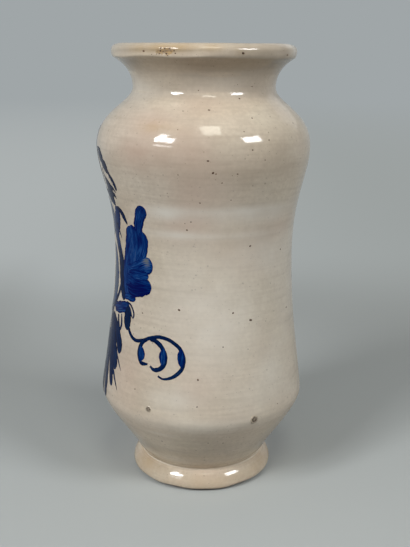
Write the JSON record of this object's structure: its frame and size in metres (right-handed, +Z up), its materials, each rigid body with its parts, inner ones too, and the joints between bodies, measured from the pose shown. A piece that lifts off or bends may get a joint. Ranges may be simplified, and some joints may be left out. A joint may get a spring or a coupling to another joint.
{
  "type": "albarello",
  "caption": "Waisted tin-glazed earthenware apothecary's jar with a spreading foot, narrow neck, everted lip, open mouth and blue painted foliage.",
  "frame": {"origin": "centre of the foot ring's resting face", "axes": "+Z up along the jar's axis; the painted front faces -Y, and the side that the picture shows faces +X"},
  "size_m": [0.13, 0.1302, 0.2715],
  "materials": {
    "clay": "unglazed buff earthenware, matt and slightly gritty",
    "slip": "fired luting slip, matt",
    "outer_glaze": "glossy cream tin glaze, clouded pink and yellow, with pinholes and a worn lip",
    "inner_glaze": "thin cream tin glaze, less even than outside",
    "cobalt_blue": "cobalt blue brushwork sunk into the glaze, darker at the stroke's edges"
  },
  "bodies": {
    "root": {"foot_ring": "clay", "foot_slip": "slip", "base_floor": "clay", "floor_slip": "slip", "body_wall": "clay", "neck_slip": "slip", "neck_collar": "clay", "lip_slip": "slip", "lip_flange": "clay", "outer_glaze": "outer_glaze", "inner_glaze": "inner_glaze", "shield_lines": "cobalt_blue", "crest_plume": "cobalt_blue", "side_leaves": "cobalt_blue", "leaf_cups": "cobalt_blue", "tendrils": "cobalt_blue", "hanging_plume": "cobalt_blue"}
  },
  "joints": []
}
